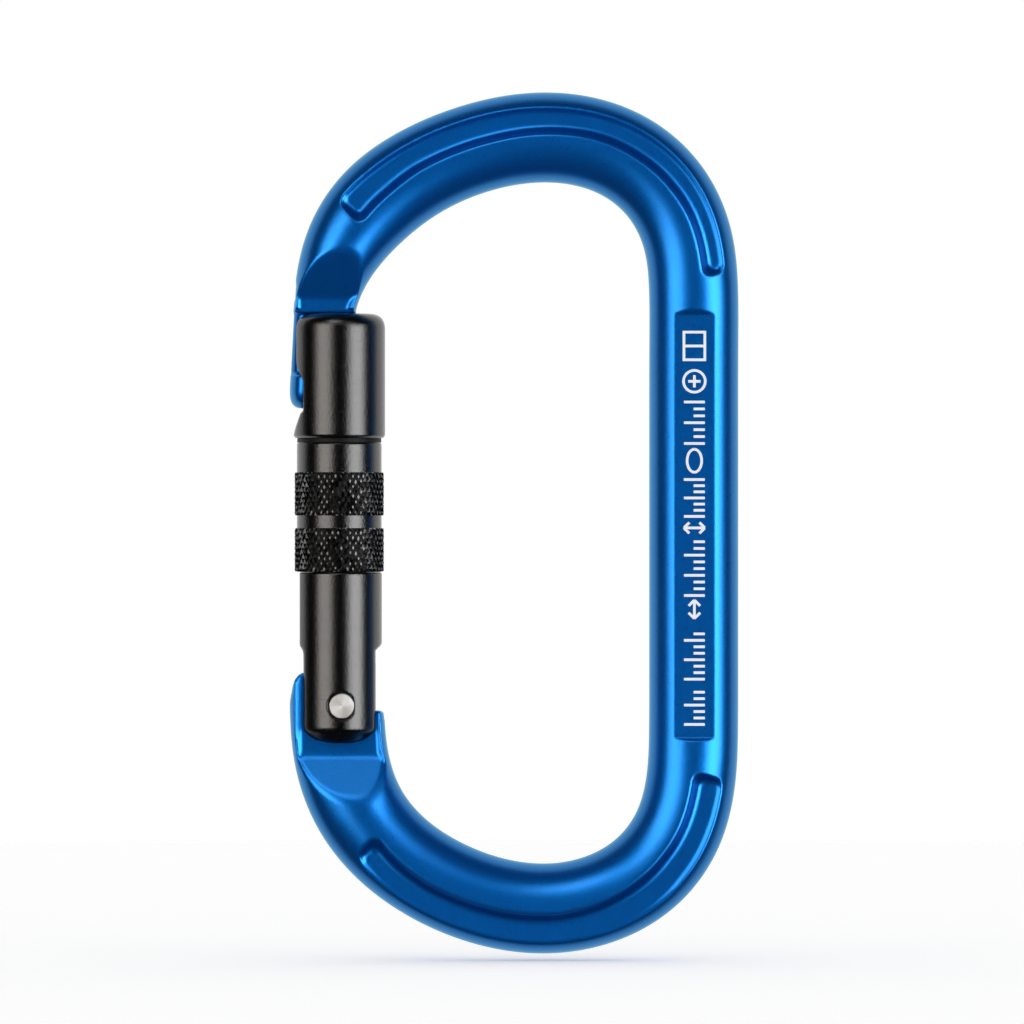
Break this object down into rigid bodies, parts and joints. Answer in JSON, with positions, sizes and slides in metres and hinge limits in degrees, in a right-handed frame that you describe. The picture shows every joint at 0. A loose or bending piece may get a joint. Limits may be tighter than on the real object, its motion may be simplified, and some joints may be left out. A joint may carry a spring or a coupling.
{
  "type": "locking carabiner",
  "caption": "Oval forged carabiner with a keylock nose, inward-opening barrel gate on a rivet hinge and a knurled collar that twists to throw a locking bolt.",
  "frame": {"origin": "centre of the whole carabiner's bounding box, gate shut", "axes": "+Z along the spine towards the nose end, +X from the gate to the spine, +Y through the thickness"},
  "size_m": [0.0586, 0.012, 0.1123],
  "materials": {
    "blue_anodised": "blue anodised over a fine tumbled grain, satin, slightly brighter along forged edges",
    "black_anodised": "black anodised, satin, turned",
    "black_knurled": "black anodised, satin, with two bands of diamond knurl",
    "bearing_plastic": "matte black acetal",
    "stainless": "bright stainless steel, finely turned",
    "spring_steel": "drawn stainless spring wire"
  },
  "bodies": {
    "frame": {"body": "blue_anodised"},
    "gate": {"gate_head": "black_anodised", "gate_tail": "black_anodised", "tail_pin": "stainless", "hinge_rivet": "stainless", "upper_thrust_washer": "bearing_plastic", "lower_thrust_washer": "bearing_plastic", "collar_torsion_spring": "spring_steel", "bolt_spring": "spring_steel", "gate_return_spring": "spring_steel"},
    "collar": {"locking_collar": "black_knurled"},
    "bolt": {"locking_bolt": "stainless", "bolt_drive_pin": "stainless"},
    "plunger": {"gate_plunger": "stainless"}
  },
  "joints": [
    {"name": "gate_hinge", "type": "hinge", "parent": "frame", "child": "gate", "pos_m": [-0.0225, 0, -0.0239], "axis": [0, 1, 0], "range_deg": [0, 24]},
    {"name": "collar_twist", "type": "hinge", "parent": "gate", "child": "collar", "pos_m": [-0.0229, 0, 0.002], "axis": [0, 0, 1], "range_deg": [0, 90]},
    {"name": "bolt_slide", "type": "slide", "parent": "gate", "child": "bolt", "axis": [0, 0, 1], "range_m": [0, 0.00325], "deforming": ["bolt_spring"]},
    {"name": "plunger_slide", "type": "slide", "parent": "gate", "child": "plunger", "axis": [0, 0, 1], "range_m": [0, 0.00095], "deforming": ["gate_return_spring"]}
  ],
  "couplings": [
    {"joint": "bolt_slide", "follows": "collar_twist", "m_per_rad": 0.0020372},
    {"joint": "plunger_slide", "follows": "gate_hinge", "m_per_rad": 0.0021486}
  ]
}
